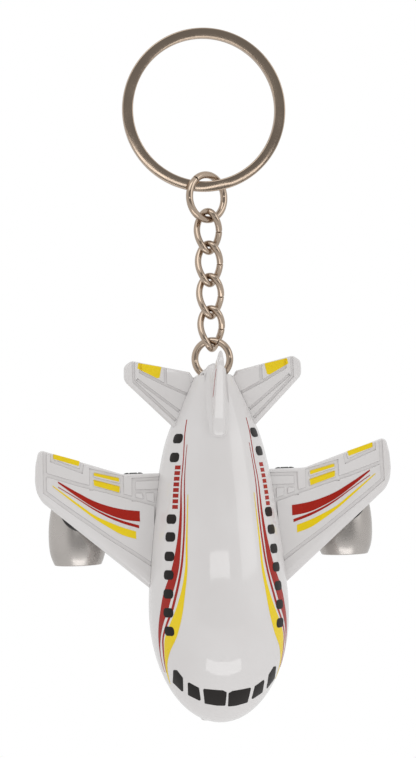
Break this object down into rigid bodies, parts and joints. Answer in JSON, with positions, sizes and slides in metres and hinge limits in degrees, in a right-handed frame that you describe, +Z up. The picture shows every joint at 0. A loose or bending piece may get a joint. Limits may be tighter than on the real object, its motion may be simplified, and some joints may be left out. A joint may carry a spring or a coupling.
{
  "type": "toy airplane key ring",
  "caption": "Chubby toy airliner with rolling wheels, hung nose down from a split ring by a short twisted-link chain and jump rings.",
  "frame": {"origin": "the hang point: the top of the split ring's inner edge, where a hook, a nail or a finger carries it", "axes": "+Z up along the hanging chain, +X to the airplane's port wing, +Y away from the airplane's fin side; the nose points to -Z"},
  "size_m": [0.0662, 0.0292, 0.1277],
  "materials": {
    "nickel": "warm bright nickel plate",
    "shell": "glossy white",
    "silver": "satin silver paint",
    "black": "satin black",
    "rubber": "matt black",
    "steel": "bright",
    "clear": "clear lens, milky",
    "board": "green solder mask",
    "button": "red moulded",
    "print_red": "pad-printed ink",
    "print_yellow": "pad-printed ink",
    "print_black": "pad-printed ink"
  },
  "bodies": {
    "split_ring": {"split_ring": "nickel"},
    "upper_jump_ring": {"upper_jump_ring": "nickel"},
    "chain_link_1": {"chain_link_1": "nickel"},
    "chain_link_2": {"chain_link_2": "nickel"},
    "chain_link_3": {"chain_link_3": "nickel"},
    "chain_link_4": {"chain_link_4": "nickel"},
    "lower_jump_ring": {"lower_jump_ring": "nickel"},
    "airplane": {"upper_shell": "shell", "lower_shell": "shell", "left_wing": "shell", "right_wing": "shell", "left_tailplane": "shell", "right_tailplane": "shell", "battery_door": "shell", "left_engine_cowl": "silver", "right_engine_cowl": "silver", "left_engine_pylon": "black", "right_engine_pylon": "black", "left_engine_led": "clear", "right_engine_led": "clear", "tact_switch": "black", "circuit_board": "board", "sound_chip": "black", "speaker": "steel", "button_cell_1": "steel", "button_cell_2": "steel", "button_cell_3": "steel", "positive_contact": "steel", "negative_contact": "steel", "door_screw": "steel", "rear_shell_screw": "steel", "front_shell_screw": "steel"},
    "main_wheels": {"main_axle": "steel", "left_main_wheel": "rubber", "right_main_wheel": "rubber"},
    "nose_wheels": {"nose_axle": "steel", "nose_wheel": "rubber"},
    "push_button": {"push_button": "button"}
  },
  "joints": [
    {"name": "upper_ring_swing", "type": "hinge", "parent": "split_ring", "child": "upper_jump_ring", "pos_m": [0, 0, -0.0264], "axis": [1, 0, 0], "range_deg": [-60, 25]},
    {"name": "link_1_swing", "type": "hinge", "parent": "upper_jump_ring", "child": "chain_link_1", "pos_m": [0, 0, -0.03314], "axis": [-0.8387, -0.5446, 0], "range_deg": [-60, 60]},
    {"name": "link_2_swing", "type": "hinge", "parent": "chain_link_1", "child": "chain_link_2", "pos_m": [0, 0, -0.03755], "axis": [-0.7193, 0.6947, 0], "range_deg": [-30, 30]},
    {"name": "link_3_swing", "type": "hinge", "parent": "chain_link_2", "child": "chain_link_3", "pos_m": [0, 0, -0.04495], "axis": [-0.6428, -0.766, 0], "range_deg": [-30, 30]},
    {"name": "link_4_swing", "type": "hinge", "parent": "chain_link_3", "child": "chain_link_4", "pos_m": [0, 0, -0.04941], "axis": [-0.8387, 0.5446, 0], "range_deg": [-30, 30]},
    {"name": "lower_ring_swing", "type": "hinge", "parent": "chain_link_4", "child": "lower_jump_ring", "pos_m": [0, 0, -0.05681], "axis": [0.4848, 0.8746, 0], "range_deg": [-60, 60]},
    {"name": "airplane_swing", "type": "hinge", "parent": "lower_jump_ring", "child": "airplane", "pos_m": [0, 0, -0.062], "axis": [0.9063, -0.4226, 0], "range_deg": [-35, 50]},
    {"name": "main_wheel_spin", "type": "hinge", "parent": "airplane", "child": "main_wheels", "pos_m": [0, 0.0104, -0.0848], "axis": [1, 0, 0], "continuous": true},
    {"name": "nose_wheel_spin", "type": "hinge", "parent": "airplane", "child": "nose_wheels", "pos_m": [0, 0.01305, -0.11185], "axis": [1, 0, 0], "continuous": true},
    {"name": "button_press", "type": "slide", "parent": "airplane", "child": "push_button", "axis": [0, -1, 0], "range_m": [0, 0.0008], "stiffness_N_per_m": 400}
  ]
}
